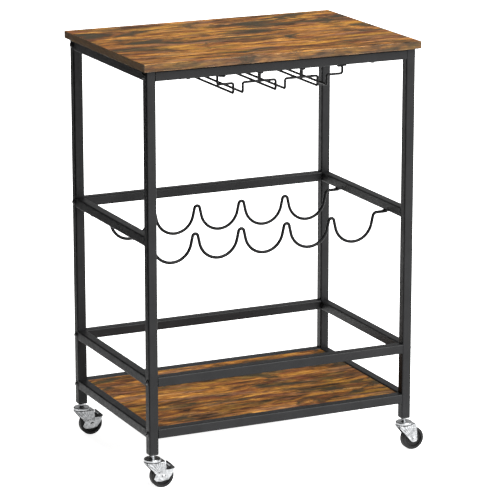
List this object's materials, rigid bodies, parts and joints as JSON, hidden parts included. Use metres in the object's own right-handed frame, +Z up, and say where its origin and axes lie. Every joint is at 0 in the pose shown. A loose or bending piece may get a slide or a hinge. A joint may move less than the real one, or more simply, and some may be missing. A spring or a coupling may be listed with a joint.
{
  "type": "bar cart",
  "caption": "Rectangular rolling bar cart: square-tube frame, wood-look top, railed lower shelf, scalloped bottle rack, stem-glass rack under the top and swivel casters, the left ones braked.",
  "frame": {"origin": "on the floor, in the middle of the cart's overall length and width with its casters trailing; the middle of the top board and of the frame is 13 mm towards -X from it", "axes": "+Z up; X along the length of the top, with the braked casters at -X; the open front without a middle rail is at -Y"},
  "size_m": [0.6252, 0.415, 0.858],
  "materials": {
    "wood_board": "satin printed wood grain",
    "black_powder_coat": "fine satin powder coat",
    "black_wire": "satin coat on wire",
    "black_fastener": "black oxide",
    "zinc_steel": "bright zinc plate on pressed steel",
    "bright_steel": "polished steel",
    "wheel_plastic": "moulded, matte",
    "black_plastic": "moulded, satin"
  },
  "bodies": {
    "cart_frame": {"leg_front_left": "black_powder_coat", "leg_front_right": "black_powder_coat", "leg_back_left": "black_powder_coat", "leg_back_right": "black_powder_coat", "top_rail_left": "black_powder_coat", "top_rail_right": "black_powder_coat", "mid_rail_left": "black_powder_coat", "mid_rail_right": "black_powder_coat", "guard_rail_left": "black_powder_coat", "guard_rail_right": "black_powder_coat", "shelf_rail_left": "black_powder_coat", "shelf_rail_right": "black_powder_coat", "top_rail_front": "black_powder_coat", "top_rail_back": "black_powder_coat", "mid_rail_back": "black_powder_coat", "guard_rail_front": "black_powder_coat", "guard_rail_back": "black_powder_coat", "shelf_rail_front": "black_powder_coat", "shelf_rail_back": "black_powder_coat", "frame_bolts": "black_fastener", "rail_end_inserts": "zinc_steel", "leg_top_caps": "black_plastic", "caster_sockets": "black_plastic", "top_board": "wood_board", "shelf_board": "wood_board", "top_board_screws": "black_fastener", "shelf_tabs": "black_powder_coat", "shelf_screws": "black_fastener", "wine_rack_wire_front": "black_wire", "wine_rack_wire_back": "black_wire", "wine_rack_screws": "black_fastener", "glass_rack_wire_left": "black_wire", "glass_rack_loop_left": "black_wire", "glass_rack_loop_right": "black_wire", "glass_rack_wire_right": "black_wire", "glass_rack_straps": "black_wire", "glass_rack_screws": "black_fastener", "caster_stem_front_left": "zinc_steel", "caster_stem_front_right": "zinc_steel", "caster_stem_back_left": "zinc_steel", "caster_stem_back_right": "zinc_steel", "caster_balls": "bright_steel"},
    "fork_front_left": {"caster_fork_front_left": "zinc_steel", "caster_axle_front_left": "bright_steel", "brake_pivots_front_left": "bright_steel"},
    "wheel_front_left": {"caster_wheel_front_left": "wheel_plastic"},
    "brake_front_left": {"brake_lever_front_left": "zinc_steel", "brake_pedal_cap_front_left": "black_plastic"},
    "fork_front_right": {"caster_fork_front_right": "zinc_steel", "caster_axle_front_right": "bright_steel"},
    "wheel_front_right": {"caster_wheel_front_right": "wheel_plastic"},
    "fork_back_left": {"caster_fork_back_left": "zinc_steel", "caster_axle_back_left": "bright_steel", "brake_pivots_back_left": "bright_steel"},
    "wheel_back_left": {"caster_wheel_back_left": "wheel_plastic"},
    "brake_back_left": {"brake_lever_back_left": "zinc_steel", "brake_pedal_cap_back_left": "black_plastic"},
    "fork_back_right": {"caster_fork_back_right": "zinc_steel", "caster_axle_back_right": "bright_steel"},
    "wheel_back_right": {"caster_wheel_back_right": "wheel_plastic"}
  },
  "joints": [
    {"name": "swivel_front_left", "type": "hinge", "parent": "cart_frame", "child": "fork_front_left", "pos_m": [-0.2948, -0.1875, 0.055], "axis": [0, 0, 1], "continuous": true},
    {"name": "wheel_spin_front_left", "type": "hinge", "parent": "fork_front_left", "child": "wheel_front_left", "pos_m": [-0.2758, -0.1875, 0.024], "axis": [0, 1, 0], "continuous": true},
    {"name": "brake_press_front_left", "type": "hinge", "parent": "fork_front_left", "child": "brake_front_left", "pos_m": [-0.2828, -0.1875, 0.032], "axis": [0, 1, 0], "range_deg": [0, 8]},
    {"name": "swivel_front_right", "type": "hinge", "parent": "cart_frame", "child": "fork_front_right", "pos_m": [0.2696, -0.1875, 0.055], "axis": [0, 0, 1], "continuous": true},
    {"name": "wheel_spin_front_right", "type": "hinge", "parent": "fork_front_right", "child": "wheel_front_right", "pos_m": [0.2886, -0.1875, 0.024], "axis": [0, 1, 0], "continuous": true},
    {"name": "swivel_back_left", "type": "hinge", "parent": "cart_frame", "child": "fork_back_left", "pos_m": [-0.2948, 0.1875, 0.055], "axis": [0, 0, 1], "continuous": true},
    {"name": "wheel_spin_back_left", "type": "hinge", "parent": "fork_back_left", "child": "wheel_back_left", "pos_m": [-0.2758, 0.1875, 0.024], "axis": [0, 1, 0], "continuous": true},
    {"name": "brake_press_back_left", "type": "hinge", "parent": "fork_back_left", "child": "brake_back_left", "pos_m": [-0.2828, 0.1875, 0.032], "axis": [0, 1, 0], "range_deg": [0, 8]},
    {"name": "swivel_back_right", "type": "hinge", "parent": "cart_frame", "child": "fork_back_right", "pos_m": [0.2696, 0.1875, 0.055], "axis": [0, 0, 1], "continuous": true},
    {"name": "wheel_spin_back_right", "type": "hinge", "parent": "fork_back_right", "child": "wheel_back_right", "pos_m": [0.2886, 0.1875, 0.024], "axis": [0, 1, 0], "continuous": true}
  ]
}
